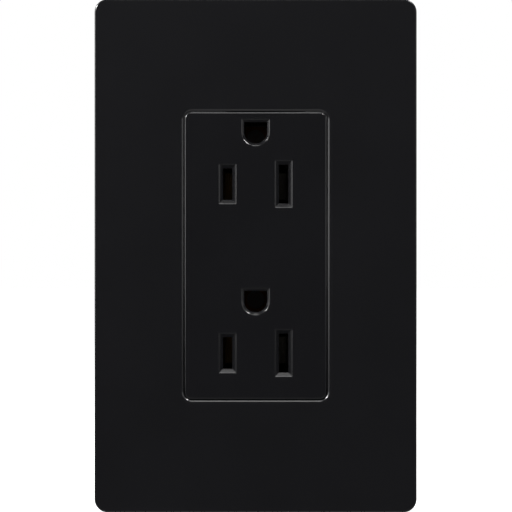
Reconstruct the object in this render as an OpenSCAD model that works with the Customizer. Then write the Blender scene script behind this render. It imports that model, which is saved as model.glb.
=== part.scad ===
// Duplex wall outlet, 15 A, with a screwless snap-fit wall plate.
// X runs to the right as a person faces the outlet, Z runs up and Y runs into the wall.
// The finished wall is the plane y = 0, and the origin is the outlet's centre on that plane.
// The ground holes are above the blade slots, the hot side is -X and the neutral side is +X.
// Every length is in millimetres.

/* [Snap cover] */
// Width of the cover
cover_w = 74.7; // [74.2:0.1:76]
// Height of the cover
cover_h = 119.1; // [118.5:0.1:121]
// Depth of the cover, from the wall to its front
cover_d = 7.6; // [7.5:0.1:8]
// Radius of the cover's four corners
cover_corner_r = 3.1; // [2.8:0.1:5]
// Radius of the cover's front edge
cover_edge_r = 0.3; // [0.2:0.1:0.9]
// Thickness of the cover's side walls
cover_wall = 1.8; // [1.6:0.1:1.9]
// Thickness of the cover's front wall
cover_front_t = 2; // [1.8:0.1:2]
// Width of the opening for the outlet
opening_w = 33.3; // [33.2:0.1:33.5]
// Height of the opening for the outlet
opening_h = 66.9; // [66.7:0.1:67]
// Radius of the opening's corners
opening_corner_r = 1.85; // [1.5:0.05:2.5]
// Width of the rounded lip round the opening
lip_w = 0.8; // [0.4:0.1:1]
// Radius of the lip's curve
lip_r = 1.2; // [1:0.1:1.5]

/* [Face] */
// Width of the outlet's face and body
face_w = 32.9; // [32.6:0.1:33]
// Height of the outlet's face and body
face_h = 66.5; // [66.2:0.1:66.5]
// How far the face stands in front of the cover
face_proud = 0.2; // [0.1:0.1:0.5]
// Radius of the face's corners
face_corner_r = 1.6; // [1.2:0.1:2]
// Radius of the face's front edge
face_edge_r = 0.3; // [0.2:0.1:0.6]
// Thickness of the face's front wall
face_t = 3.2; // [2.8:0.1:3.4]

/* [Outlets] */
// Distance between the two outlets' centres
outlet_pitch = 39.2; // [38.9:0.1:39.4]
// Distance between a plug's two blades
blade_spacing = 12.7; // [12.6:0.1:12.8]
// Distance between a pair of blade slots
slot_spacing = 13; // [12.7:0.1:13]
// Height of a plug's ground pin above its blades
ground_rise = 11.9; // [11.8:0.1:12]
// Width of a blade slot
slot_w = 2.1; // [1.9:0.1:2.3]
// Height of a hot slot, the shorter one
hot_slot_h = 7.3; // [6.9:0.1:7.6]
// Height of a neutral slot, the longer one
neutral_slot_h = 9; // [8.6:0.1:9.2]
// Width of the bevel round a blade slot
slot_bevel = 0.95; // [0.5:0.05:1.2]
// Radius of a ground hole's round end, which is half its width
ground_hole_r = 2.65; // [2.5:0.05:2.7]
// Width of the bevel round a ground hole
ground_bevel = 0.6; // [0.3:0.05:0.7]
// Radius that softens the outer edge of those bevels
bevel_edge_r = 0.2; // [0.1:0.05:0.3]

/* [Body] */
// How far the body reaches behind the wall's surface
body_depth = 25; // [25:0.5:27]
// Where the face ends and the rear body begins, behind the wall's surface
parting_y = 4; // [3.5:0.5:4.5]

/* [Strap] */
// Thickness of the strap
strap_t = 1.3; // [1.2:0.1:1.3]
// Width of the strap
strap_w = 14; // [13:0.5:14]
// Length of the strap from end to end
strap_length = 106.5; // [106:0.1:107]
// Distance between the two screws that fasten the outlet to its wall box
box_screw_spacing = 83.3; // [83.2:0.1:83.4]
// Distance between the two screws that fasten the sub-plate to the strap
plate_screw_spacing = 96.8; // [96.7:0.1:96.9]

/* [Screws] */
// Outside diameter of the threads
screw_d = 3.5; // [3.4:0.05:3.5]
// Length of a box screw's shank
box_screw_length = 25.4; // [19:0.1:32]
// Radius of a terminal screw's head
terminal_head_r = 3.7; // [3.4:0.1:3.9]

/* [Hidden] */
$fn = 48;

// Shared clearances
touch_gap = 0.05;
thread_gap = 0.05;
loose_gap = 0.15;
// How far a cutting shape runs past the surface it cuts
over = 1;

// Colours
black_plastic = [0.10, 0.10, 0.11];
grey_plastic = [0.16, 0.16, 0.17];
zinc = [0.72, 0.73, 0.75];
brass = [0.80, 0.62, 0.28];
nickel = [0.78, 0.77, 0.74];
bronze = [0.76, 0.52, 0.30];
green = [0.16, 0.45, 0.24];
fibre = [0.56, 0.30, 0.18];

// Screws
screw_r = screw_d / 2;
tapped_r = screw_r + thread_gap;
neck_r = screw_r - 0.25;
slot_drive_w = 1;

// Cover and sub-plate
cover_front = -cover_d;
cover_inside = cover_front + cover_front_t;
collar_t = 1.3;
collar_back = cover_inside + 2.2;
sub_gap = 0.75;
sub_w = cover_w - 2 * (cover_wall + sub_gap);
sub_h = cover_h - 2 * (cover_wall + sub_gap);
sub_corner_r = 1;
sub_t = 1.5;
sub_front = cover_inside + 0.4;
sub_back = sub_front + sub_t;
sub_rim_t = 1.4;
sub_opening_w = opening_w + 2 * (collar_t + 0.4);
sub_opening_h = opening_h + 2 * (collar_t + 0.4);
sub_collar_t = 1.2;
sub_collar_back = -strap_t - 0.5;
ledge_t = 1.1;
ledge_front = sub_collar_back - ledge_t;
ledge_gap = 0.1;
plate_screw_z = plate_screw_spacing / 2;
plate_head_r = 3.3;
seat_r = 4.3;
seat_back = sub_front + 2.2;

// Snap teeth. A tooth and a rib together are a little less than the gap between their walls.
tooth_h = 0.35;
tooth_step = 1;
tooth_length = 10;
finger_length = 12;
finger_slit = 1;
finger_z = 30;
finger_x = 18;
rib_y = -1.7;
tooth_ys = [rib_y - 1.5 * tooth_step, rib_y - tooth_step / 2, rib_y + tooth_step / 2];

// Face and outlets
face_front = cover_front - face_proud;
face_inside = face_front + face_t;
face_wall = 1.6;
blade_drop = 3;
outlet_zs = [outlet_pitch / 2, -outlet_pitch / 2];
blade_zs = [for (z = outlet_zs) z - blade_drop];
ground_zs = [for (z = blade_zs) z + ground_rise];
blade_x = blade_spacing / 2;
slot_x = slot_spacing / 2;
ground_flat = 2.3;
// How far a ground hole's centre lies above the pin's
ground_lift = 0.2;

// Body
body_back = body_depth;
body_edge_r = 1.2;
floor_t = 2;
floor_y = body_back - floor_t;
chamber_x = 12.25;
chamber_top = 20.6;
chamber_bottom = -27;
end_chamber_x = 7;
end_chamber_z = face_h / 2 - 1.3;
rib_t = 1.2;
rib_zs = [23.2, 0, -15.5];
rib_x = 10.9;
// The wall between the hot and neutral sides runs from near the lower ground contact to the upper boss
centre_wall_z = [-7, 17.5];
boss_r = 2.7;
assembly_r = 1.45;
assembly_hole_r = assembly_r + thread_gap;
assembly_tip_y = -2;

// Terminals. A bus plate lies against the chamber wall and the clamp and screw head stand outside it.
bus_t = 0.9;
bus_out = chamber_x - touch_gap;
bus_in = bus_out - bus_t;
terminal_y = 15;
terminal_z = 10.5;
ground_terminal_z = 27.5;
clamp_t = 1.5;
clamp_in = bus_out + touch_gap;
clamp_out = clamp_in + clamp_t;
clamp_y = 9.6;
clamp_z = 10.4;
wire_offset = 3.5;
wire_groove_r = 1.1;
pocket_y = [8.4, 21.6];
pocket_half_z = clamp_z / 2 + 0.4;
terminal_head_t = 2.2;
terminal_seat = clamp_out + touch_gap;
terminal_tip_x = 7.5;
ground_tip_x = 8.8;
notch_x = 8.6;
notch_z = 21.9;
wire_entry = [2.6, 3];
fin_half_z = 2.9;
fin_y = [12.5, 17.5];

// Contacts
contact_t = 0.7;
contact_half_h = 3.2;
blade_half_gap = 0.8;
contact_tip_y = -3;
contact_base_y = [12.4, 13.2];
ground_half_gap = 2.42;
ground_half_h = 2.4;
relaxed_gap = 0.5;
ground_base_half_w = ground_half_gap + relaxed_gap + contact_t;
ground_base_half_h = 3;
ground_base_t = 0.8;
rivet_r = 1.5;
rivet_hole_r = rivet_r + thread_gap;
rivet_head_t = 0.8;

// Strap
leg_in = face_h / 2 + touch_gap;
leg_out = leg_in + strap_t;
bend_r = 0.5;
strap_back_in = body_back + touch_gap;
strap_back_out = strap_back_in + strap_t;
box_screw_z = box_screw_spacing / 2;
strap_end_z = strap_length / 2;
ear_size = 8.2;
ear_x = 12.3;
ear_z = 48.6;
tab_y = [9.5, 20.5];
tab_out = bus_out;
tab_in = tab_out - strap_t;
tab_bottom = 22.3;
ground_base_y = [strap_back_in - touch_gap - ground_base_t, strap_back_in - touch_gap];
retainer_t = 0.8;

// ---------- General shapes ----------

// A flat shape drawn in x and z, made solid from y0 to y1
module slab_y(y0, y1) {
    translate([0, y1, 0]) rotate([90, 0, 0]) linear_extrude(y1 - y0) children();
}

// A flat shape drawn in y and z, made solid from x0 to x1
module slab_x(x0, x1) {
    translate([x0, 0, 0]) rotate([90, 0, 90]) linear_extrude(x1 - x0) children();
}

// A flat shape drawn in x and y, made solid from z0 to z1
module slab_z(z0, z1) {
    translate([0, 0, z0]) linear_extrude(z1 - z0) children();
}

// A round rod along y
module rod_y(r, y0, y1) {
    translate([0, y0, 0]) rotate([-90, 0, 0]) cylinder(r = r, h = y1 - y0);
}

// A round rod along x
module rod_x(r, x0, x1) {
    translate([x0, 0, 0]) rotate([0, 90, 0]) cylinder(r = r, h = x1 - x0);
}

// A flat rectangle between two spans
module rect(u, v) {
    translate([u[0], v[0]]) square([u[1] - u[0], v[1] - v[0]]);
}

// A flat rectangle with rounded corners, centred on the origin
module round_rect(w, h, r) {
    square([w - 2 * r, h], center = true);
    square([w, h - 2 * r], center = true);
    for (u = [-1, 1], v = [-1, 1]) translate([u * (w / 2 - r), v * (h / 2 - r)]) circle(r);
}

// A flat ring between two rounded rectangles
module round_frame(w, h, r, t) {
    difference() {
        round_rect(w, h, r);
        round_rect(w - 2 * t, h - 2 * t, max(r - t, 0.2));
    }
}

// Carries a profile round a rounded rectangle and fills the middle from z0 to z1.
// The profile's x is measured outwards from the corner's centre, and its y is the height z.
module swept_plate(w, h, corner, z0, z1) {
    slab_z(z0, z1) square([w - 2 * corner, h - 2 * corner], center = true);
    for (turn = [0:3]) {
        a = (turn % 2 == 0 ? w : h) / 2 - corner;
        b = (turn % 2 == 0 ? h : w) / 2 - corner;
        rotate([0, 0, 90 * turn]) {
            translate([-a, b, 0]) rotate([90, 0, 90]) linear_extrude(2 * a) children();
            translate([a, b, 0]) rotate_extrude(angle = 90) children();
        }
    }
}

// A plate with rounded corners and a rounded edge at z = 0
module pillow(w, h, corner, edge, depth) {
    swept_plate(w, h, corner, 0, depth) {
        rect([0, corner], [edge, depth]);
        rect([0, corner - edge], [0, depth]);
        intersection() {
            translate([corner - edge, edge]) circle(edge);
            rect([0, corner], [0, edge]);
        }
    }
}

// The cutter for an opening whose lip is rounded at z = 0. The curve stops where it meets the opening's wall.
module mouth(w, h, corner, depth) {
    swept_plate(w, h, corner, -over, depth) {
        rect([0, corner], [-over, depth]);
        difference() {
            rect([0, corner + lip_w], [-over, lip_r]);
            translate([corner + lip_w, lip_r]) circle(lip_r, $fn = 96);
        }
    }
}

// Points local +Z out of the wall, towards the user
module facing_user() {
    rotate([90, 0, 0]) children();
}

// Points local +Z into the wall
module facing_wall() {
    rotate([-90, 0, 0]) children();
}

// Puts a shape made for the +X side on the chosen side
module on_side(side) {
    mirror([side < 0 ? 1 : 0, 0, 0]) children();
}

// A screw along Z. Its head stands on z = 0 and its plain shank, at the threads' outside size,
// runs down to -length, below a narrower neck if it has one. The drive is a slot with a cross in its middle.
module screw(length, shank_r, head_r, head_t, sunk = false, neck = 0) {
    tip = 0.6;
    dome_r = 2.2 * head_r;
    cross_w = 1.1;
    cross_l = 0.55 * head_r;
    drive_depth = 0.9;
    cross_depth = 1.35;
    top = sunk ? 0 : head_t;
    difference() {
        rotate_extrude() {
            rect([0, shank_r], [tip - length, -neck]);
            if (neck > 0) rect([0, neck_r], [-neck - tip, 0]);
            polygon([[0, -length], [shank_r - tip, -length], [shank_r, tip - length], [0, tip - length]]);
            if (sunk) {
                polygon([[0, -head_t], [shank_r, -head_t], [head_r, 0], [0, 0]]);
            } else {
                intersection() {
                    rect([0, head_r], [0, head_t]);
                    translate([0, head_t - dome_r]) circle(dome_r, $fn = 180);
                }
            }
        }
        translate([0, 0, top]) cube([2.2 * head_r, slot_drive_w, 2 * drive_depth], center = true);
        for (turn = [0, 90]) rotate([0, 0, turn + 90]) translate([0, 0, top])
            cube([2 * cross_l, cross_w, 2 * cross_depth], center = true);
    }
}

// ---------- Wall plate ----------

// A ridge along z that stands out of a wall along +x
module ridge() {
    slab_z(-tooth_length / 2, tooth_length / 2)
        polygon([[-0.2, -tooth_h - 0.2], [tooth_h, 0], [-0.2, tooth_h + 0.2]]);
}

// Puts a shape made for the +X wall on both side walls and on the top and bottom walls
module at_fingers(half_w, half_h) {
    for (turn = [0, 180]) rotate([0, turn, 0]) for (s = [-1, 1]) {
        translate([half_w, 0, s * finger_z]) children();
        rotate([0, -90, 0]) translate([half_h, 0, s * finger_x]) children();
    }
}

// The visible front of the wall plate. It snaps over the sub-plate and hides every screw.
module snap_cover() color(black_plastic) {
    inner_w = cover_w - 2 * cover_wall;
    inner_h = cover_h - 2 * cover_wall;
    pry_w = 8;
    pry_d = 1.5;
    difference() {
        union() {
            difference() {
                translate([0, cover_front, 0]) facing_wall()
                    pillow(cover_w, cover_h, cover_corner_r, cover_edge_r, cover_d);
                slab_y(cover_inside, over)
                    round_rect(inner_w, inner_h, max(cover_corner_r - cover_wall, 0.5));
            }
            slab_y(cover_inside - cover_front_t / 2, collar_back)
                round_rect(opening_w + 2 * collar_t, opening_h + 2 * collar_t, opening_corner_r + collar_t);
            translate([0, rib_y, 0]) at_fingers(inner_w / 2, inner_h / 2) mirror([1, 0, 0]) ridge();
        }
        translate([0, cover_front, 0]) facing_wall()
            mouth(opening_w, opening_h, opening_corner_r, cover_d + over);
        translate([0, over - pry_d / 2, -cover_h / 2])
            cube([pry_w, pry_d + 2 * over, 2 * cover_wall + 1], center = true);
    }
}

// The hidden half of the wall plate. Two screws hold it to the strap, and its fingers hold the cover.
// A ledge at the back of its collar closes the gap round the face.
module sub_plate() color(grey_plastic) {
    difference() {
        union() {
            slab_y(sub_front, sub_back) round_rect(sub_w, sub_h, sub_corner_r);
            slab_y(sub_front, 0) round_frame(sub_w, sub_h, sub_corner_r, sub_rim_t);
            slab_y(sub_front, sub_collar_back)
                round_rect(sub_opening_w + 2 * sub_collar_t, sub_opening_h + 2 * sub_collar_t, 2);
            for (s = [-1, 1]) {
                translate([0, 0, s * plate_screw_z]) rod_y(seat_r, sub_front, seat_back);
                for (x = [-1, 1]) translate([x * ear_x, 0, s * ear_z])
                    rod_y(2.2, sub_front, -strap_t - touch_gap);
            }
            at_fingers(sub_w / 2, sub_h / 2) for (y = tooth_ys) translate([0, y, 0]) ridge();
        }
        slab_y(sub_front - over, ledge_front) round_rect(sub_opening_w, sub_opening_h, 1.6);
        slab_y(sub_front, over)
            round_rect(face_w + 2 * ledge_gap, face_h + 2 * ledge_gap, face_corner_r + ledge_gap);
        for (s = [-1, 1]) translate([0, sub_front, s * plate_screw_z]) {
            rod_y(screw_r + loose_gap, -over, 2 * over + sub_t);
            facing_wall() cylinder(
                r1 = plate_head_r + touch_gap, r2 = screw_r + touch_gap, h = plate_head_r - screw_r);
        }
        at_fingers(sub_w / 2, sub_h / 2) for (s = [-1, 1])
            translate([-sub_rim_t / 2, sub_back / 2 + over, s * (finger_length - finger_slit) / 2])
                cube([2 * sub_rim_t, -sub_back + 2 * over, finger_slit], center = true);
    }
}

// One of the two flush screws that hold the sub-plate
module plate_screw(side) color(zinc) {
    length = 9.5;
    translate([0, sub_front, side * plate_screw_z]) facing_user()
        screw(length, screw_r, plate_head_r, plate_head_r - screw_r, sunk = true);
}

// ---------- Plastic body ----------

// Half the section of a 45 degree bevel round an opening of half width u, with its outer edge softened.
// The section's x runs out from the opening's middle, and its y runs from the face's front into the face.
module bevel_section(u, b) {
    edge = bevel_edge_r * tan(22.5);
    slope = edge * cos(45);
    difference() {
        polygon([
            [0, -over], [u + b + edge, -over], [u + b + edge, 0], [u + b - slope, slope], [u, b], [0, b]]);
        translate([u + b + edge, bevel_edge_r]) circle(bevel_edge_r);
    }
}

// A bevel along both long sides of an opening, made solid from z0 to z1
module bevel_run(u, b, z0, z1) {
    slab_z(z0, z1) translate([0, face_front]) for (s = [0, 1]) mirror([s, 0]) bevel_section(u, b);
}

// The cutter for a blade slot and its bevel, centred on x = 0, z = 0
module blade_slot(h) {
    u = slot_w / 2;
    v = h / 2;
    reach = v + slot_bevel + over;
    slab_y(face_front - over, face_inside + over) square([slot_w, h], center = true);
    intersection() {
        bevel_run(u, slot_bevel, -reach, reach);
        rotate([0, 90, 0]) bevel_run(v, slot_bevel, -reach, reach);
    }
}

// The cutter for a ground hole, round below, with straight sides, a flat top and a bevel
module ground_hole() {
    r = ground_hole_r;
    reach = 2 * r;
    drop = ground_flat - reach;
    intersection() {
        union() {
            slab_y(face_front - over, face_inside + over) {
                circle(r);
                rect([-r, r], [0, reach]);
            }
            translate([0, face_front, 0]) facing_wall() rotate_extrude() bevel_section(r, ground_bevel);
            bevel_run(r, ground_bevel, 0, reach);
        }
        union() {
            slab_y(face_front - over, face_inside + 2 * over) rect([-reach, reach], [-reach, ground_flat]);
            translate([0, 0, drop]) rotate([0, 90, 0]) bevel_run(reach, ground_bevel, -reach, reach);
        }
    }
}

// The front half of the body, with the openings of both outlets
module face() color(black_plastic) {
    difference() {
        union() {
            difference() {
                translate([0, face_front, 0]) facing_wall()
                    pillow(face_w, face_h, face_corner_r, face_edge_r, parting_y - face_front);
                slab_y(face_inside, parting_y + over)
                    round_rect(face_w - 2 * face_wall, face_h - 2 * face_wall, 0.5);
            }
            for (z = rib_zs) slab_y(face_inside - 0.5, parting_y)
                rect([-face_w / 2 + 1, face_w / 2 - 1], [z - rib_t / 2, z + rib_t / 2]);
            for (z = outlet_zs) translate([0, 0, z]) rod_y(boss_r, face_inside - 0.5, parting_y);
        }
        for (z = outlet_zs) translate([0, 0, z])
            rod_y(assembly_hole_r, assembly_tip_y - 0.6, parting_y + over);
        for (z = blade_zs) {
            translate([-slot_x, 0, z]) blade_slot(hot_slot_h);
            translate([slot_x, 0, z]) blade_slot(neutral_slot_h);
        }
        for (z = ground_zs) translate([0, 0, z + ground_lift]) ground_hole();
    }
}

// The hollow of the rear body, drawn in x and z
module chamber_outline() {
    rect([-chamber_x, chamber_x], [chamber_bottom, chamber_top]);
    rect([-end_chamber_x, end_chamber_x], [-end_chamber_z, end_chamber_z]);
}

// The two square entries for bare wires behind a terminal, with a shallow lead-in
module wire_entries() {
    lead = 0.3;
    mid_x = bus_out + touch_gap + wire_entry[0] / 2;
    for (s = [-1, 1]) translate([mid_x, 0, s * wire_offset]) {
        slab_y(pocket_y[1] - over, body_back + over) square(wire_entry, center = true);
        slab_y(body_back - lead, body_back + over)
            square([wire_entry[0] + 2 * lead, wire_entry[1] + 2 * lead], center = true);
    }
}

// The rear half of the body. Windows in its sides hold the terminals.
module rear_body() color(grey_plastic) {
    window_y = [terminal_y - 3.2, terminal_y + 3.2];
    base_gap = 0.3;
    ground_x = ground_base_half_w + base_gap;
    difference() {
        union() {
            difference() {
                translate([0, body_back, 0]) facing_user()
                    pillow(face_w, face_h, face_corner_r, body_edge_r, body_back - parting_y);
                slab_y(parting_y - over, floor_y) chamber_outline();
            }
            for (z = rib_zs) slab_y(parting_y, floor_y + 0.5) {
                half = z > chamber_top ? end_chamber_x + 0.5 : rib_x;
                rect([-half, half], [z - rib_t / 2, z + rib_t / 2]);
            }
            for (z = outlet_zs) translate([0, 0, z]) rod_y(boss_r, parting_y, floor_y + 0.5);
            slab_y(parting_y, floor_y + 0.5) rect([-rib_t / 2, rib_t / 2], centre_wall_z);
        }
        for (z = outlet_zs) translate([0, 0, z])
            rod_y(assembly_r + loose_gap, parting_y - over, body_back + over);
        for (z = ground_zs) slab_y(floor_y - over, body_back + over) rect(
            [-ground_x, ground_x], [z - ground_base_half_h - base_gap, z + ground_base_half_h + base_gap]);
        for (side = [-1, 1]) on_side(side) {
            slab_x(chamber_x - 0.5, face_w / 2 + over) {
                rect(window_y, [-fin_half_z, fin_half_z]);
                for (z = [-terminal_z, terminal_z]) rect(pocket_y, [z - pocket_half_z, z + pocket_half_z]);
            }
            for (z = [-terminal_z, terminal_z]) translate([0, 0, z]) wire_entries();
        }
        slab_x(notch_x, face_w / 2 + over) rect(pocket_y, [notch_z, face_h / 2 + over]);
        translate([0, 0, ground_terminal_z]) wire_entries();
    }
}

// The two long screws that clamp the strap, the rear body and the face together
module assembly_screws() color(zinc) {
    for (z = outlet_zs) translate([0, strap_back_out + touch_gap, z]) facing_wall()
        screw(strap_back_out + touch_gap - assembly_tip_y, assembly_r, 2.7, 1.7);
}

// ---------- Strap ----------

// A quarter ring, the section of a bend, from +x to +y
module bend() {
    intersection() {
        difference() {
            circle(bend_r + strap_t);
            circle(bend_r);
        }
        square(bend_r + strap_t + over);
    }
}

// One end of the strap's flat front, drawn in x and z, with its two plaster ears
module strap_end() {
    bend_z = leg_out + bend_r;
    neck = 3.6;
    rect([-strap_w / 2, strap_w / 2], [bend_z, strap_end_z - 2]);
    translate([0, strap_end_z - 4]) round_rect(strap_w, 8, 2);
    for (s = [-1, 1]) translate([s * ear_x, ear_z]) {
        round_rect(ear_size, ear_size, 2);
        translate([-s * ear_size / 2, 0]) square([3, neck], center = true);
    }
}

// The long hole for a box screw, which lets the outlet be set level, drawn in x and z
module level_slot() {
    half_travel = 2.2;
    r = 2.1;
    square([2 * half_travel, 2 * r], center = true);
    for (s = [-1, 1]) translate([s * half_travel, 0]) circle(r);
}

// The steel strap that wraps the body and carries the ground terminal
module strap() color(zinc) {
    half = strap_w / 2;
    bead_z = 4.5;
    bead = [4, 14, 1.9];
    bead_t = 0.4;
    tab_bend_x = tab_in - bend_r;
    difference() {
        union() {
            for (s = [0, 1]) mirror([0, 0, s]) {
                slab_y(-strap_t, 0) strap_end();
                slab_x(-half, half) {
                    translate([bend_r, leg_out + bend_r]) rotate(180) bend();
                    rect([bend_r, strap_back_in - bend_r], [leg_in, leg_out]);
                    translate([strap_back_in - bend_r, leg_in - bend_r]) bend();
                    rect([strap_back_in, strap_back_out], [-over, leg_in - bend_r]);
                }
            }
            translate([0, 0, bead_z]) slab_y(strap_back_out - bead_t, strap_back_out + bead_t)
                round_rect(bead[0], bead[1], bead[2]);
            translate([0, tab_y[1], 0]) rotate([90, 0, 0]) linear_extrude(tab_y[1] - tab_y[0]) {
                rect([half - over, tab_bend_x], [leg_in, leg_out]);
                translate([tab_bend_x, leg_in - bend_r]) bend();
            }
            slab_x(tab_in, tab_out) {
                rect(tab_y, [tab_bottom + 2, leg_in - bend_r]);
                translate([terminal_y, tab_bottom + 3]) round_rect(tab_y[1] - tab_y[0], 6, 2);
            }
        }
        for (s = [-1, 1]) {
            slab_y(-strap_t - over, over) translate([0, s * box_screw_z]) level_slot();
            translate([0, 0, s * plate_screw_z]) rod_y(tapped_r, -strap_t - over, over);
        }
        for (z = outlet_zs) translate([0, 0, z])
            rod_y(assembly_r + loose_gap, strap_back_in - over, strap_back_out + over);
        for (z = ground_zs) translate([0, 0, z])
            rod_y(rivet_hole_r, strap_back_in - over, strap_back_out + over);
        translate([0, terminal_y, ground_terminal_z]) rod_x(tapped_r, tab_in - over, tab_out + over);
    }
}

// One of the two screws that fasten the strap to the wall box. Its thread starts behind the retainer.
module box_screw(side) color(zinc) {
    seat = -strap_t - touch_gap;
    neck = touch_gap + retainer_t + 0.35 - seat;
    translate([0, seat, side * box_screw_z]) facing_user()
        screw(box_screw_length, screw_r, 3.4, 1.45, neck = neck);
}

// The fibre washers that keep the box screws in the strap. They sit on the necks, and the threads
// can't pass them.
module screw_retainers() color(fibre) {
    for (s = [-1, 1]) slab_y(touch_gap, touch_gap + retainer_t) translate([0, s * box_screw_z]) difference() {
        round_rect(9, 7, 1);
        circle(neck_r + thread_gap);
    }
}

// ---------- Contacts ----------

// A sprung leaf that grips a pin from the +x side: flared tip, pinch, then a relaxed run to its base
module leaf(half_gap, half_h, base_y) {
    tip = contact_tip_y;
    inner = [
        [half_gap + 0.9, tip], [half_gap, tip + 4], [half_gap, tip + 5.5],
        [half_gap + relaxed_gap, tip + 8.5], [half_gap + relaxed_gap, base_y]
    ];
    outer = [for (i = [len(inner) - 1:-1:0]) inner[i] + [contact_t, 0]];
    slab_z(-half_h, half_h) polygon(concat(inner, outer));
}

// Both blade contacts of the +X side, the terminal plates and the break-off fin, in one strip
module bus() {
    plate_z = [terminal_z - pocket_half_z - 0.8, terminal_z + pocket_half_z + 0.8];
    plate_y = [pocket_y[0] - 0.8, pocket_y[1] + 0.8];
    arm_y = [contact_base_y[0] - 2.4, contact_base_y[1] + 1.3];
    break_w = 3.4;
    base_in = blade_x - blade_half_gap - relaxed_gap - contact_t;
    difference() {
        union() {
            slab_x(bus_in, bus_out) {
                for (s = [-1, 1]) {
                    rect(plate_y, s > 0 ? plate_z : -[plate_z[1], plate_z[0]]);
                    translate([terminal_y, s * plate_z[0]]) square([break_w, 4], center = true);
                }
                rect(fin_y, [-fin_half_z + 0.7, fin_half_z - 0.7]);
                rect(arm_y, [plate_z[1] - over, blade_zs[0] + contact_half_h]);
                rect(arm_y, [blade_zs[1] - contact_half_h, -plate_z[1] + over]);
            }
            for (z = blade_zs) translate([0, 0, z]) {
                slab_z(-contact_half_h, contact_half_h) rect([base_in, bus_in + bus_t / 2], contact_base_y);
                translate([blade_x, 0, 0]) for (s = [0, 1]) mirror([s, 0, 0])
                    leaf(blade_half_gap, contact_half_h, contact_base_y[0] + 0.4);
            }
        }
        for (s = [-1, 1]) translate([0, terminal_y, s * terminal_z])
            rod_x(tapped_r, bus_in - over, bus_out + over);
        slab_x(bus_in - over, bus_out + over) translate([terminal_y, 0]) square([2, 1.6], center = true);
    }
}

module line_bus() color(brass) on_side(-1) bus();

module neutral_bus() color(nickel) bus();

// A ground contact: two leaves on a base that is riveted to the inside of the strap
module ground_contact(z) color(bronze) translate([0, 0, z]) {
    difference() {
        slab_y(ground_base_y[0], ground_base_y[1])
            square([2 * ground_base_half_w, 2 * ground_base_half_h], center = true);
        rod_y(rivet_hole_r, ground_base_y[0] - over, ground_base_y[1] + over);
    }
    for (s = [0, 1]) mirror([s, 0, 0]) leaf(ground_half_gap, ground_half_h, ground_base_y[0] + 0.4);
}

// The two rivets that join the ground contacts to the strap
module ground_rivets() color(zinc) {
    inner = ground_base_y[0] - touch_gap;
    outer = strap_back_out + touch_gap;
    for (z = ground_zs) translate([0, 0, z]) {
        rod_y(rivet_r, inner - rivet_head_t / 2, outer + rivet_head_t / 2);
        rod_y(2.2, inner - rivet_head_t, inner);
        intersection() {
            rod_y(2.6, outer, outer + rivet_head_t);
            translate([0, outer + rivet_head_t - 4.6, 0]) sphere(4.6, $fn = 96);
        }
    }
}

// ---------- Terminals ----------

// The plate under a terminal screw's head, which presses the wires on the bus plate.
// It is made for the +X side, with a groove for a wire on each side of the screw.
module clamp_plate() {
    groove_x = clamp_in - 0.4;
    difference() {
        slab_x(clamp_in, clamp_out) translate([terminal_y, 0]) round_rect(clamp_y, clamp_z, 0.8);
        translate([0, terminal_y, 0]) rod_x(screw_r + loose_gap, clamp_in - over, clamp_out + over);
        for (s = [-1, 1]) translate([groove_x, 0, s * wire_offset])
            rod_y(wire_groove_r, pocket_y[0], pocket_y[1]);
    }
}

// A terminal's binding-head screw, made for the +X side
module terminal_screw(tip_x) {
    translate([terminal_seat, terminal_y, 0]) rotate([0, 90, 0])
        screw(terminal_seat - tip_x, screw_r, terminal_head_r, terminal_head_t);
}

module line_clamp(z) color(brass) translate([0, 0, z]) on_side(-1) clamp_plate();

module line_screw(z) color(brass) translate([0, 0, z]) on_side(-1) terminal_screw(terminal_tip_x);

module neutral_clamp(z) color(nickel) translate([0, 0, z]) clamp_plate();

module neutral_screw(z) color(nickel) translate([0, 0, z]) terminal_screw(terminal_tip_x);

module ground_clamp() color(zinc) translate([0, 0, ground_terminal_z]) clamp_plate();

module ground_screw() color(green) translate([0, 0, ground_terminal_z]) terminal_screw(ground_tip_x);

// ---------- Assembly ----------

snap_cover();
sub_plate();
plate_screw(1);  // plate_screw_top
plate_screw(-1);  // plate_screw_bottom
face();
rear_body();
assembly_screws();
strap();
box_screw(1);  // box_screw_top
box_screw(-1);  // box_screw_bottom
screw_retainers();
ground_contact(ground_zs[0]);  // ground_contact_upper
ground_contact(ground_zs[1]);  // ground_contact_lower
ground_rivets();
line_bus();
neutral_bus();
line_clamp(terminal_z);  // line_clamp_upper
line_screw(terminal_z);  // line_screw_upper
line_clamp(-terminal_z);  // line_clamp_lower
line_screw(-terminal_z);  // line_screw_lower
neutral_clamp(terminal_z);  // neutral_clamp_upper
neutral_screw(terminal_z);  // neutral_screw_upper
neutral_clamp(-terminal_z);  // neutral_clamp_lower
neutral_screw(-terminal_z);  // neutral_screw_lower
ground_clamp();
ground_screw();
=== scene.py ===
"""The looks of a duplex wall outlet: finishes, threaded screws, stage, lights and camera."""

import math

import bpy
import numpy as np
from mathutils import Matrix, Vector


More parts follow.
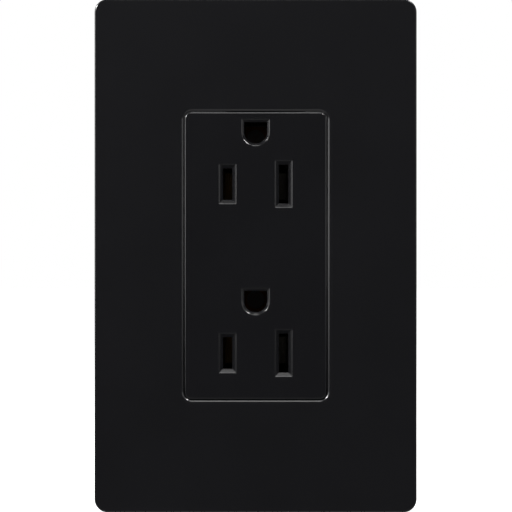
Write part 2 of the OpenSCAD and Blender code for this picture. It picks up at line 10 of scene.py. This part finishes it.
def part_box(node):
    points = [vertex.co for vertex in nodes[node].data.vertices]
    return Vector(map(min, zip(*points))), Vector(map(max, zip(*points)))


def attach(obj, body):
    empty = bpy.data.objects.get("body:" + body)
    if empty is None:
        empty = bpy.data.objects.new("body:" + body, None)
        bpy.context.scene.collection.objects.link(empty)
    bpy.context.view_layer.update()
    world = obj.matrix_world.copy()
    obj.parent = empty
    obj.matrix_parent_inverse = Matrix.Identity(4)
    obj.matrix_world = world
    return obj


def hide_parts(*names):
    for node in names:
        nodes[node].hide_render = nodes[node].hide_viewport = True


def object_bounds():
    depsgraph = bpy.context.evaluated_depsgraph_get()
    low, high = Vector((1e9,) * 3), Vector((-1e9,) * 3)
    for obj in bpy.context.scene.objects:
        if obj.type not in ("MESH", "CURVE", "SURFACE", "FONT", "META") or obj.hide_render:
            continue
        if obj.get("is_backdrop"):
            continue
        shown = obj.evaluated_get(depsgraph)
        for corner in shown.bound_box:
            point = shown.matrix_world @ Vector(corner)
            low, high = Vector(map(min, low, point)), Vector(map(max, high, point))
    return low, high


MM = 0.001

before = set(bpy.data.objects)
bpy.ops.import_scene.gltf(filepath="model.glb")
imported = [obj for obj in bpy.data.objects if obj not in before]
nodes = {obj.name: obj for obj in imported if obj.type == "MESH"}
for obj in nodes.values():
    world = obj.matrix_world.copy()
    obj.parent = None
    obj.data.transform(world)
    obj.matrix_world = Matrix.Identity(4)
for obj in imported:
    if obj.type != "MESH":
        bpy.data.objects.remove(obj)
cad_low, cad_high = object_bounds()


# ---------- Shader helpers ----------

# The colour sockets of a mix node
MIX_A, MIX_B, MIXED = 6, 7, 2

# The cosines between the rounded and the flat normal where an edge's mask begins and where it is full
FLAT_COSINE = 0.995
EDGE_COSINE = 0.86


def add(tree, kind, sockets=None, **settings):
    """Adds a shader node. Each socket is given a value, or another node's output to link."""
    made = tree.nodes.new("ShaderNode" + kind)
    for key, value in settings.items():
        setattr(made, key, value)
    for key, value in (sockets or {}).items():
        if isinstance(value, bpy.types.NodeSocket):
            tree.links.new(value, made.inputs[key])
        else:
            made.inputs[key].default_value = value
    return made


def calc(tree, operation, a, b=0.0):
    """The result of a math node."""
    return add(tree, "Math", {0: a, 1: b}, operation=operation).outputs[0]


def spread(tree, value, low, high, to_low=0.0, to_high=1.0):
    """Takes a value from the span low to high to another span, and stops at its ends."""
    return add(tree, "MapRange", {0: value, 1: low, 2: high, 3: to_low, 4: to_high}).outputs[0]


def blend(tree, share, a, b):
    """A colour between a at 0 and b at 1."""
    return add(tree, "Mix", {0: share, MIX_A: a, MIX_B: b}, data_type="RGBA").outputs[MIXED]


def place(tree):
    """The point on the piece, in metres in the piece's own frame, so that the pattern rides with it."""
    return add(tree, "TexCoord").outputs["Object"]


def noise(tree, where, scale, detail=2.0, rough=0.5, stretch=(1, 1, 1)):
    """Noise between 0 and 1. The scale is in features a metre, and stretch makes it finer along an axis."""
    if tuple(stretch) != (1, 1, 1):
        where = add(tree, "Mapping", {"Vector": where, "Scale": stretch}).outputs[0]
    sockets = {"Vector": where, "Scale": scale, "Detail": detail, "Roughness": rough}
    return add(tree, "TexNoise", sockets).outputs["Fac"]


def edges(tree, radius):
    """A rounded shading normal, and a mask that is 1 on outside and inside edges within that radius."""
    rounded = add(tree, "Bevel", {"Radius": radius}, samples=6).outputs[0]
    flat = add(tree, "NewGeometry").outputs["Normal"]
    same = add(tree, "VectorMath", {0: rounded, 1: flat}, operation="DOT_PRODUCT").outputs["Value"]
    return rounded, spread(tree, same, FLAT_COSINE, EDGE_COSINE)


def fresh(name):
    """A material of that name with its node tree and surface shader. A packed one is emptied and redone."""
    material = bpy.data.materials.get(name) or bpy.data.materials.new(name)
    material.use_nodes = True
    tree = material.node_tree
    tree.nodes.clear()
    shader = add(tree, "BsdfPrincipled")
    output = add(tree, "OutputMaterial")
    tree.links.new(shader.outputs[0], output.inputs["Surface"])
    return material, tree, shader


def put(tree, shader, **sockets):
    """Sets or links the surface shader's sockets, with the names' underscores read as spaces."""
    for key, value in sockets.items():
        socket = shader.inputs[key.replace("_", " ")]
        if isinstance(value, bpy.types.NodeSocket):
            tree.links.new(value, socket)
        else:
            socket.default_value = value


def rgb(r, g, b):
    return (r, g, b, 1.0)


# ---------- Finishes ----------

# The mesh attribute that holds each screw point's place in the screw's own frame
SCREW_PLACE = "screw_place"

# How deep the rolling lines and turning rings are
METAL_GRAIN = 0.006 * MM

PLASTIC_IOR = 1.49


def plastic(name, tone, worn, gloss, grain_depth, edge_radius):
    """Moulded plastic: a fine spark-eroded grain, slow changes of tone and gloss, and handled edges
    a little smoother and lighter."""
    material, tree, shader = fresh(name)
    where = place(tree)
    rounded, edge = edges(tree, edge_radius)
    flow = noise(tree, where, 60.0, 3.0, 0.55)
    rub = noise(tree, where, 420.0, 4.0, 0.6)
    grain = noise(tree, where, 5200.0, 2.0, 0.6)
    dark = tuple(0.94 * c for c in tone)
    light = tuple(1.06 * c for c in tone)
    base = blend(tree, spread(tree, flow, 0.35, 0.65), rgb(*dark), rgb(*light))
    wear = calc(tree, "MULTIPLY", edge, spread(tree, rub, 0.45, 0.7))
    base = blend(tree, calc(tree, "MULTIPLY", wear, 0.5), base, rgb(*worn))
    rough = spread(tree, rub, 0.3, 0.7, gloss[0], gloss[1])
    rough = calc(tree, "SUBTRACT", rough, calc(tree, "MULTIPLY", edge, 0.04))
    bumps = {"Strength": 1.0, "Distance": grain_depth, "Height": grain, "Normal": rounded}
    normal = add(tree, "Bump", bumps).outputs[0]
    put(tree, shader, Base_Color=base, Roughness=rough, Normal=normal, IOR=PLASTIC_IOR)
    return material


def sheet(name, tone, aged, bright, rough, lines, edge_radius, tint=None):
    """Rolled or plated sheet metal: rolling lines, patches of tarnish, small scratches and brighter
    sheared edges."""
    tree, shader = fresh(name)[1:]
    where = place(tree)
    rounded, edge = edges(tree, edge_radius)
    patches = noise(tree, where, 170.0, 4.0, 0.62)
    clouds = noise(tree, where, 45.0, 3.0, 0.55)
    rolled = noise(tree, where, 900.0, 3.0, 0.6, stretch=lines)
    pits = noise(tree, where, 3800.0, 2.0, 0.6)
    scratch = noise(tree, where, 260.0, 5.0, 0.75, stretch=(7.0, 1.0, 0.6))
    scratches = spread(tree, scratch, 0.66, 0.70)
    tarnish = calc(tree, "MULTIPLY", spread(tree, patches, 0.42, 0.72), 0.5)
    base = blend(tree, tarnish, rgb(*tone), rgb(*aged))
    if tint:
        cloudy = calc(tree, "MULTIPLY", spread(tree, clouds, 0.45, 0.7), 0.35)
        base = blend(tree, cloudy, base, rgb(*tint))
    base = blend(tree, calc(tree, "MULTIPLY", rolled, 0.12), base, rgb(*aged))
    base = blend(tree, calc(tree, "MULTIPLY", edge, 0.55), base, rgb(*bright))
    gloss = spread(tree, rolled, 0.3, 0.7, rough[0], rough[1])
    gloss = calc(tree, "ADD", gloss, calc(tree, "MULTIPLY", spread(tree, patches, 0.5, 0.75), 0.10))
    gloss = calc(tree, "SUBTRACT", gloss, calc(tree, "MULTIPLY", edge, 0.08))
    height = calc(tree, "ADD", rolled, calc(tree, "MULTIPLY", pits, 0.6))
    height = calc(tree, "SUBTRACT", height, calc(tree, "MULTIPLY", scratches, 0.5))
    bumps = {"Strength": 0.6, "Distance": METAL_GRAIN, "Height": height, "Normal": rounded}
    normal = add(tree, "Bump", bumps).outputs[0]
    put(tree, shader, Base_Color=base, Metallic=1.0, Roughness=gloss, Normal=normal)


def turned(name, tone, aged, bright, rough, edge_radius, metallic=1.0, wear=0.5):
    """A screw's plated metal, made round its own axis: faint turning rings, dirt in the thread and
    bright handled edges."""
    material, tree, shader = fresh(name)
    where = add(tree, "Attribute", attribute_name=SCREW_PLACE).outputs["Vector"]
    rounded, edge = edges(tree, edge_radius)
    apart = add(tree, "SeparateXYZ", {0: where})
    flat = add(tree, "CombineXYZ", {0: apart.outputs[0], 1: apart.outputs[1]}).outputs[0]
    radius = add(tree, "VectorMath", {0: flat}, operation="LENGTH").outputs["Value"]
    along = calc(tree, "MULTIPLY", apart.outputs[2], 0.3)
    ring_point = add(tree, "CombineXYZ", {0: radius, 1: along}).outputs[0]
    rings = noise(tree, ring_point, 7000.0, 2.0, 0.6)
    patches = noise(tree, where, 600.0, 4.0, 0.62)
    pits = noise(tree, where, 5200.0, 2.0, 0.6)
    dirt = calc(tree, "MULTIPLY", spread(tree, patches, 0.42, 0.72), 0.55)
    base = blend(tree, dirt, rgb(*tone), rgb(*aged))
    base = blend(tree, calc(tree, "MULTIPLY", edge, wear), base, rgb(*bright))
    gloss = spread(tree, patches, 0.35, 0.7, rough[0], rough[1])
    gloss = calc(tree, "SUBTRACT", gloss, calc(tree, "MULTIPLY", edge, 0.06))
    height = calc(tree, "ADD", rings, calc(tree, "MULTIPLY", pits, 0.5))
    bumps = {"Strength": 0.6, "Distance": METAL_GRAIN, "Height": height, "Normal": rounded}
    normal = add(tree, "Bump", bumps).outputs[0]
    put(tree, shader, Base_Color=base, Metallic=metallic, Roughness=gloss, Normal=normal)
    return material


def pressed_fibre(name):
    """Vulcanised fibre board: flecks along the sheet, a dull surface and paler fuzzy edges."""
    tree, shader = fresh(name)[1:]
    where = place(tree)
    rounded, edge = edges(tree, 0.15 * MM)
    flecks = noise(tree, where, 1600.0, 4.0, 0.7, stretch=(1.0, 3.0, 0.5))
    soak = noise(tree, where, 350.0, 3.0, 0.6)
    base = blend(tree, spread(tree, flecks, 0.35, 0.7), rgb(0.16, 0.045, 0.022), rgb(0.27, 0.09, 0.045))
    soaked = calc(tree, "MULTIPLY", spread(tree, soak, 0.45, 0.7), 0.4)
    base = blend(tree, soaked, base, rgb(0.10, 0.03, 0.018))
    base = blend(tree, calc(tree, "MULTIPLY", edge, 0.5), base, rgb(0.36, 0.16, 0.09))
    rough = spread(tree, flecks, 0.3, 0.7, 0.6, 0.85)
    bumps = {"Strength": 0.8, "Distance": 0.02 * MM, "Height": flecks, "Normal": rounded}
    normal = add(tree, "Bump", bumps).outputs[0]
    put(tree, shader, Base_Color=base, Roughness=rough, Normal=normal)


# Rolling lines along Z, for the strap and the contact strips, and along Y, for the ground contacts
LINES_Z = (6.0, 6.0, 0.15)
LINES_Y = (6.0, 0.15, 6.0)

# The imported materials, each redone under its own name
plastic(
    "black_plastic", tone=(0.0113, 0.0113, 0.0129), worn=(0.023, 0.023, 0.025), gloss=(0.190, 0.206),
    grain_depth=0.0012 * MM, edge_radius=0.10 * MM)
plastic(
    "dark_plastic", tone=(0.030, 0.030, 0.033), worn=(0.060, 0.060, 0.064), gloss=(0.42, 0.55),
    grain_depth=0.0050 * MM, edge_radius=0.15 * MM)
sheet(
    "zinc_steel", tone=(0.58, 0.60, 0.63), aged=(0.40, 0.41, 0.42), bright=(0.80, 0.81, 0.83),
    rough=(0.26, 0.40), lines=LINES_Z, edge_radius=0.16 * MM, tint=(0.60, 0.56, 0.44))
sheet(
    "brass", tone=(0.70, 0.47, 0.17), aged=(0.42, 0.25, 0.09), bright=(0.86, 0.66, 0.33),
    rough=(0.22, 0.36), lines=LINES_Z, edge_radius=0.12 * MM)
sheet(
    "nickel_brass", tone=(0.60, 0.57, 0.51), aged=(0.44, 0.40, 0.34), bright=(0.78, 0.75, 0.70),
    rough=(0.20, 0.34), lines=LINES_Z, edge_radius=0.12 * MM)
sheet(
    "bronze", tone=(0.62, 0.33, 0.17), aged=(0.36, 0.17, 0.09), bright=(0.80, 0.52, 0.34),
    rough=(0.24, 0.38), lines=LINES_Y, edge_radius=0.10 * MM)
pressed_fibre("fibre")

# The face is a little glossier than the cover, and the screws are turned, so they have their own
face_finish = plastic(
    "face_plastic", tone=(0.0106, 0.0106, 0.0122), worn=(0.023, 0.023, 0.025), gloss=(0.178, 0.194),
    grain_depth=0.0010 * MM, edge_radius=0.10 * MM)
zinc_screw = turned(
    "zinc_screw", tone=(0.60, 0.62, 0.66), aged=(0.42, 0.42, 0.40), bright=(0.82, 0.83, 0.85),
    rough=(0.22, 0.36), edge_radius=0.10 * MM)
brass_screw = turned(
    "brass_screw", tone=(0.72, 0.49, 0.18), aged=(0.45, 0.27, 0.10), bright=(0.88, 0.70, 0.38),
    rough=(0.20, 0.34), edge_radius=0.10 * MM)
nickel_screw = turned(
    "nickel_screw", tone=(0.62, 0.59, 0.53), aged=(0.46, 0.42, 0.36), bright=(0.80, 0.78, 0.73),
    rough=(0.18, 0.32), edge_radius=0.10 * MM)
green_screw = turned(
    "green_steel", tone=(0.012, 0.150, 0.050), aged=(0.008, 0.080, 0.030), bright=(0.30, 0.42, 0.34),
    rough=(0.22, 0.36), edge_radius=0.12 * MM, metallic=0.75, wear=0.4)

nodes["face"].data.materials[0] = face_finish


# ---------- Screws ----------

PITCH_6_32 = 25.4 / 32 * MM
# The depth of a thread as a share of its pitch
THREAD_SHARE = 0.54
# How a thread's mesh is divided
SEGMENTS = 36
RINGS_A_PITCH = 10
# How much a head's corners are rounded
SOFT = 0.12 * MM
# The height of the chamfer at a screw's tip
TIP = 0.6 * MM
# The steepest angle between faces that are still shaded as one, away from the thread, in degrees
SMOOTH_ANGLE = 32


def head_profile(head_r, head_t):
    """Half the section of a domed head, from its underside's rim to the middle of its top, as radius
    and height."""
    dome_r = 2.2 * head_r
    shoulder = 0.35 * MM
    shoulder_steps = 5
    dome_steps = 8

    def dome(r):
        return head_t - dome_r + math.sqrt(dome_r ** 2 - r ** 2)

    side = dome(head_r)
    points = [(head_r - SOFT, 0.0), (head_r - 0.3 * SOFT, 0.3 * SOFT), (head_r, SOFT)]
    start = (head_r, side - shoulder)
    control = (head_r, side)
    end = (head_r - shoulder, dome(head_r - shoulder))
    for step in range(shoulder_steps + 1):
        t = step / shoulder_steps
        points.append(tuple(
            (1 - t) ** 2 * a + 2 * t * (1 - t) * b + t * t * c for a, b, c in zip(start, control, end)))
    for step in range(1, dome_steps):
        r = (head_r - shoulder) * (1 - step / dome_steps)
        points.append((r, dome(r)))
    return points


def sunk_profile(shank_r, head_r, head_t):
    """Half the section of a flush head, from the shank to its flat top."""
    return [
        (shank_r, -head_t), (head_r - SOFT, -1.7 * SOFT), (head_r, -SOFT), (head_r, -0.5 * SOFT),
        (head_r - 0.3 * SOFT, -0.12 * SOFT), (head_r - SOFT, 0.0), (0.5 * head_r, 0.0)]


def tapered_bar(half_top, half_bottom, width_top, width_bottom, top, bottom):
    """The corners and faces of a bar that narrows downwards."""
    points = []
    for z, half, width in ((bottom, half_bottom, width_bottom), (top, half_top, width_top)):
        for x, y in ((-1, -1), (1, -1), (1, 1), (-1, 1)):
            points.append((x * half, y * width / 2, z))
    faces = [(3, 2, 1, 0), (4, 5, 6, 7), (0, 1, 5, 4), (1, 2, 6, 5), (2, 3, 7, 6), (3, 0, 4, 7)]
    return points, faces


def mesh_object(name, points, faces):
    mesh = bpy.data.meshes.new(name)
    mesh.from_pydata(points, [], faces)
    mesh.validate()
    made = bpy.data.objects.new(name, mesh)
    bpy.context.scene.collection.objects.link(made)
    return made


def cut(target, cutters):
    """The target's mesh with each cutter taken out of it. The cutters and the target are removed."""
    for cutter in cutters:
        step = target.modifiers.new("cut", "BOOLEAN")
        step.operation = "DIFFERENCE"
        step.solver = "EXACT"
        step.object = cutter
    graph = bpy.context.evaluated_depsgraph_get()
    mesh = bpy.data.meshes.new_from_object(target.evaluated_get(graph), depsgraph=graph)
    for spare in [target] + cutters:
        bpy.data.objects.remove(spare)
    return mesh


def drive_cutters(head_r, top):
    """The cutters for a screw's drive: a slot across the head and a tapered cross in its middle."""
    slot_half = 1.2 * head_r
    slot = mesh_object("slot", *tapered_bar(
        half_top=slot_half, half_bottom=slot_half, width_top=1.05 * MM, width_bottom=1.0 * MM,
        top=top + 1 * MM, bottom=top - 0.9 * MM))
    cross_half = 0.55 * head_r
    cutters = [slot]
    for turn in (0, 1):
        arm = mesh_object("arm", *tapered_bar(
            half_top=1.25 * cross_half, half_bottom=0.45 * cross_half, width_top=1.15 * MM,
            width_bottom=0.75 * MM, top=top + 0.45 * MM, bottom=top - 1.5 * MM))
        arm.data.transform(Matrix.Rotation(turn * math.pi / 2, 4, "Z"))
        cutters.append(arm)
    return cutters


def thread_depth(z, theta, pitch, depth):
    """How far the thread's surface lies inside its crest at height z and angle theta."""
    flank = 1.12
    crest = 0.10
    turn = (z / pitch - theta / (2 * math.pi)) % 1.0
    away = abs(2 * turn - 1)
    return depth * min(1.0, max(0.0, (flank * away - crest)))


def screw_rings(length, shank_r, pitch, thread_from, smooth_r, angles):
    """The thread's rings from the tip up, each as a height and its radii round the axis."""
    depth = THREAD_SHARE * pitch
    runout = 0.8 * pitch
    rings = [(-length, [shank_r - TIP] * SEGMENTS)]
    count = math.ceil((length - thread_from) / pitch * RINGS_A_PITCH)
    for step in range(1, count + 1):
        z = -length + (length - thread_from) * step / count
        chamfer = shank_r - TIP + (z + length)
        fade = min(1.0, (-thread_from - z) / runout)
        outer = smooth_r + (shank_r - smooth_r) * min(1.0, 3 * fade)
        rings.append((z, [min(chamfer, outer - fade * thread_depth(z, a, pitch, depth)) for a in angles]))
    return rings


def screw_mesh(name, length, shank_r, head_r, head_t, pitch, thread_from, neck_r=None, sunk=False):
    """A screw along Z with its head on z = 0. Its thread runs from thread_from below the head to its
    tip."""
    smooth_r = neck_r or shank_r
    base = -head_t if sunk else 0.0
    top = 0.0 if sunk else head_t
    angles = [2 * math.pi * k / SEGMENTS for k in range(SEGMENTS)]
    rings = screw_rings(length, shank_r, pitch, thread_from, smooth_r, angles)
    # A last ring close under the head keeps a plain shank's shading even up to it
    if thread_from > abs(base) + 0.3 * MM:
        rings.append((base - 0.1 * MM, [smooth_r] * SEGMENTS))
    if sunk:
        profile = sunk_profile(smooth_r, head_r, head_t)
    else:
        profile = [(smooth_r, 0.0)] + head_profile(head_r, head_t)
    for r, z in profile:
        rings.append((z, [r] * SEGMENTS))
    points = [(r * math.cos(a), r * math.sin(a), z) for z, radii in rings for r, a in zip(radii, angles)]
    points += [(0.0, 0.0, -length), (0.0, 0.0, top)]
    low_centre, high_centre = len(points) - 2, len(points) - 1
    faces = []
    for ring in range(len(rings) - 1):
        a, b = ring * SEGMENTS, (ring + 1) * SEGMENTS
        for k in range(SEGMENTS):
            n = (k + 1) % SEGMENTS
            faces.append((a + k, a + n, b + n, b + k))
    last = (len(rings) - 1) * SEGMENTS
    for k in range(SEGMENTS):
        n = (k + 1) % SEGMENTS
        faces.append((low_centre, n, k))
        faces.append((high_centre, last + k, last + n))
    mesh = cut(mesh_object(name, points, faces), drive_cutters(head_r, top))
    mesh.name = name
    mark_place(mesh)
    smooth(mesh, -max(thread_from, 0.0))
    return mesh


def mark_place(mesh):
    """Keeps each point's place in the screw's own frame, for the screw's finish."""
    points = np.empty(len(mesh.vertices) * 3, np.float32)
    mesh.vertices.foreach_get("co", points)
    mesh.attributes.new(SCREW_PLACE, "FLOAT_VECTOR", "POINT").data.foreach_set("vector", points)


def smooth(mesh, thread_top):
    """Smooth shading, with sharp edges on the head and the tip but none on the thread."""
    mesh.shade_smooth()
    mesh.set_sharp_from_angle(angle=math.radians(SMOOTH_ANGLE))
    heights = np.empty(len(mesh.vertices) * 3, np.float32)
    mesh.vertices.foreach_get("co", heights)
    heights = heights.reshape(-1, 3)[:, 2]
    above_tip = heights.min() + TIP + 0.1 * MM
    below_head = thread_top - 0.05 * MM
    for edge in mesh.edges:
        high = max(heights[edge.vertices[0]], heights[edge.vertices[1]])
        if above_tip < high < below_head:
            edge.use_edge_sharp = False


def seat(node, direction, head_t, centre=None):
    """Where a screw's head sits: a matrix that turns local Z to the direction, with its origin under
    the head."""
    low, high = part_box(node)
    middle = (low + high) / 2 if centre is None else Vector(centre)
    out = Vector(direction)
    axis = max(range(3), key=lambda k: abs(out[k]))
    top = high[axis] if out[axis] > 0 else low[axis]
    middle[axis] = top - out[axis] * head_t
    return Matrix.Translation(middle) @ out.to_track_quat("Z", "Y").to_matrix().to_4x4()


def drive_screw(node, mesh, finish, direction, head_t, body, name=None, centre=None):
    """Puts a threaded screw in place of a plain CAD one."""
    made = bpy.data.objects.new(name or node + "_threaded", mesh.copy())
    bpy.context.scene.collection.objects.link(made)
    made.data.materials.clear()
    made.data.materials.append(finish)
    made.matrix_world = seat(node, direction, head_t, centre)
    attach(made, body)
    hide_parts(node)


SCREW_R = 1.75 * MM
ASSEMBLY_R = 1.45 * MM
ASSEMBLY_PITCH = 1.06 * MM
BOX_HEAD_R = 3.4 * MM
BOX_HEAD_T = 1.45 * MM
PLATE_HEAD_R = 3.3 * MM
PLATE_HEAD_T = 1.55 * MM
TERMINAL_HEAD_R = 3.7 * MM
TERMINAL_HEAD_T = 2.2 * MM
ASSEMBLY_HEAD_R = 2.7 * MM
ASSEMBLY_HEAD_T = 1.7 * MM

box_mesh = screw_mesh(
    "box_screw", 25.4 * MM, SCREW_R, BOX_HEAD_R, BOX_HEAD_T, PITCH_6_32, 2.6 * MM, neck_r=1.5 * MM)
plate_mesh = screw_mesh(
    "plate_screw", 9.5 * MM, SCREW_R, PLATE_HEAD_R, PLATE_HEAD_T, PITCH_6_32, 2.4 * MM, sunk=True)
assembly_mesh = screw_mesh(
    "assembly_screw", 28.4 * MM, ASSEMBLY_R, ASSEMBLY_HEAD_R, ASSEMBLY_HEAD_T, ASSEMBLY_PITCH, 20.0 * MM)
terminal_mesh = screw_mesh(
    "terminal_screw", 6.3 * MM, SCREW_R, TERMINAL_HEAD_R, TERMINAL_HEAD_T, PITCH_6_32, 0.9 * MM)
ground_mesh = screw_mesh(
    "ground_screw", 5.0 * MM, SCREW_R, TERMINAL_HEAD_R, TERMINAL_HEAD_T, PITCH_6_32, 0.9 * MM)

TO_USER, TO_WALL, TO_LINE, TO_NEUTRAL = (0, -1, 0), (0, 1, 0), (-1, 0, 0), (1, 0, 0)

for end in ("top", "bottom"):
    box, plate = "box_screw_" + end, "plate_screw_" + end
    drive_screw(box, box_mesh, zinc_screw, TO_USER, BOX_HEAD_T, box)
    drive_screw(plate, plate_mesh, zinc_screw, TO_USER, 0.0, plate)
for level in ("upper", "lower"):
    drive_screw(
        "line_screw_" + level, terminal_mesh, brass_screw, TO_LINE, TERMINAL_HEAD_T,
        "line_" + level + "_screw")
    drive_screw(
        "neutral_screw_" + level, terminal_mesh, nickel_screw, TO_NEUTRAL, TERMINAL_HEAD_T,
        "neutral_" + level + "_screw")
drive_screw(
    "ground_screw", ground_mesh, green_screw, TO_NEUTRAL, TERMINAL_HEAD_T, "ground_screw")
low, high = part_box("assembly_screws")
for level, z in (("upper", high.z - ASSEMBLY_HEAD_R), ("lower", low.z + ASSEMBLY_HEAD_R)):
    drive_screw(
        "assembly_screws", assembly_mesh, zinc_screw, TO_WALL, ASSEMBLY_HEAD_T, "root",
        name="assembly_screw_" + level, centre=(0, 0, z))


# ---------- Stage, lights and camera ----------

WHITE = rgb(1.0, 1.0, 1.0)


def split_view(tree, others, seen, output):
    """Shows the camera one shader and every other ray another one."""
    from_camera = add(tree, "LightPath").outputs["Is Camera Ray"]
    either = add(tree, "MixShader", {0: from_camera, 1: others, 2: seen}).outputs[0]
    tree.links.new(either, add(tree, output).inputs["Surface"])


def floor_finish():
    """A pale floor, which the camera sees nearly white. To the object it glows with a painted bounce,
    pale a little way off, dark far away, so that the plate's flat front doesn't mirror it, and a painted
    shade right below the object."""
    material = bpy.data.materials.new("floor_paper")
    material.use_nodes = True
    tree = material.node_tree
    tree.nodes.clear()
    fleck = noise(tree, place(tree), 300.0, 3.0, 0.6)
    paper = blend(tree, fleck, rgb(0.78, 0.78, 0.78), rgb(0.84, 0.84, 0.84))
    lit = add(tree, "BsdfDiffuse", {"Color": paper}).outputs[0]
    glow = add(tree, "Emission", {"Color": WHITE, "Strength": 0.86}).outputs[0]
    seen = add(tree, "AddShader", {0: lit, 1: glow}).outputs[0]
    steep = calc(tree, "SUBTRACT", 1.0, add(tree, "LayerWeight", {"Blend": 0.5}).outputs["Facing"])
    # Painted shade: the floor's glow fades to dark right below the object, and to dark far away
    painted_shade_below = spread(tree, steep, 0.82, 0.96, 0.68, 0.08)
    far = spread(tree, steep, 0.25, 0.60, 0.01, 1.0)
    strength = calc(tree, "MULTIPLY", far, painted_shade_below)
    # Painted bounce light: to the object the floor glows, rather than throwing back the lamps' light
    painted_bounce_glow = add(tree, "Emission", {"Color": WHITE, "Strength": strength}).outputs[0]
    split_view(tree, painted_bounce_glow, seen, "OutputMaterial")
    return material


def room():
    """The room, white to the camera. To the object it is dark in front, where the camera stands, dim at
    the sides, and pale above and behind."""
    world = bpy.data.worlds.new("studio")
    world.use_nodes = True
    tree = world.node_tree
    tree.nodes.clear()
    toward = add(tree, "SeparateXYZ", {0: add(tree, "TexCoord").outputs["Generated"]})
    backward = spread(tree, toward.outputs["Y"], 0.1, 0.7, 0.0, 0.35)
    forward = spread(tree, toward.outputs["Y"], -0.8, -0.2, 0.01, 0.10)
    upward = spread(tree, toward.outputs["Z"], 0.6, 1.0, 0.0, 0.30)
    strength = calc(tree, "ADD", calc(tree, "ADD", backward, forward), upward)
    room_light = add(tree, "Background", {"Color": WHITE, "Strength": strength}).outputs[0]
    backdrop = add(tree, "Background", {"Color": WHITE, "Strength": 1.0}).outputs[0]
    split_view(tree, room_light, backdrop, "OutputWorld")
    return world


def softbox(name, side, up, away, size_m, radiance, glint=False):
    """A soft light of that size and radiance, which looks at the object's centre from side and up degrees
    off the view's axis. A glint only shows in reflections."""
    side, up = math.radians(side), math.radians(up)
    data = bpy.data.lights.new(name, "AREA")
    data.shape = "RECTANGLE"
    data.size, data.size_y = size_m
    data.energy = radiance * math.pi * size_m[0] * size_m[1]
    made = bpy.data.objects.new(name, data)
    toward_light = Vector((math.sin(side) * math.cos(up), -math.cos(side) * math.cos(up), math.sin(up)))
    made.location = away * toward_light
    made.rotation_euler = (-made.location).to_track_quat("-Z", "Y").to_euler()
    made.visible_camera = False
    made.visible_diffuse = not glint
    bpy.context.scene.collection.objects.link(made)


HALF_FLOOR = 4.0
floor_z = cad_low.z - 0.1 * MM
corners = [(x * HALF_FLOOR, y * HALF_FLOOR, floor_z) for x, y in ((-1, -1), (1, -1), (1, 1), (-1, 1))]
floor = mesh_object("floor", corners, [(0, 1, 2, 3)])
floor.data.materials.append(floor_finish())
floor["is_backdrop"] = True
bpy.context.scene.world = room()

FRONT_AWAY = 0.9
BACK_AWAY = 1.0
GLINT_SIZE = (0.16, 0.16)
softbox("top", 0, 60, FRONT_AWAY, (0.34, 0.85), 4.9)
softbox("left", -60, 9, FRONT_AWAY, (1.00, 0.36), 3.3)
softbox("right", 60, 9, FRONT_AWAY, (1.00, 0.36), 1.3)
softbox("glint_left", -49, 26, FRONT_AWAY, GLINT_SIZE, 200.0, glint=True)
softbox("glint_right", 37, 43, FRONT_AWAY, GLINT_SIZE, 110.0, glint=True)
softbox("back_left", -138, 48, BACK_AWAY, (0.40, 0.40), 2.4)
softbox("back_right", 140, 44, BACK_AWAY, (0.40, 0.40), 2.2)

# The camera looks straight at the plate, a little off its centre. The picture takes in VIEW_HEIGHT at
# the plate's front, a little less than the plate's height.
CAMERA_AWAY = 0.600
CAMERA_ASIDE = 0.09 * MM
CAMERA_UP = -0.08 * MM
VIEW_HEIGHT = 118.70 * MM
plate_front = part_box("snap_cover")[0].y
camera_data = bpy.data.cameras.new("camera")
camera_data.sensor_width = 36.0
camera_data.lens = camera_data.sensor_width * (CAMERA_AWAY + plate_front) / VIEW_HEIGHT
camera_data.clip_start, camera_data.clip_end = 0.01, 20.0
camera = bpy.data.objects.new("camera", camera_data)
camera.location = (CAMERA_ASIDE, -CAMERA_AWAY, CAMERA_UP)
camera.rotation_euler = (math.radians(90), 0.0, 0.0)
bpy.context.scene.collection.objects.link(camera)
bpy.context.scene.camera = camera
bpy.context.scene.view_settings.view_transform = "Standard"
bpy.context.scene.view_settings.look = "None"

low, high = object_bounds()
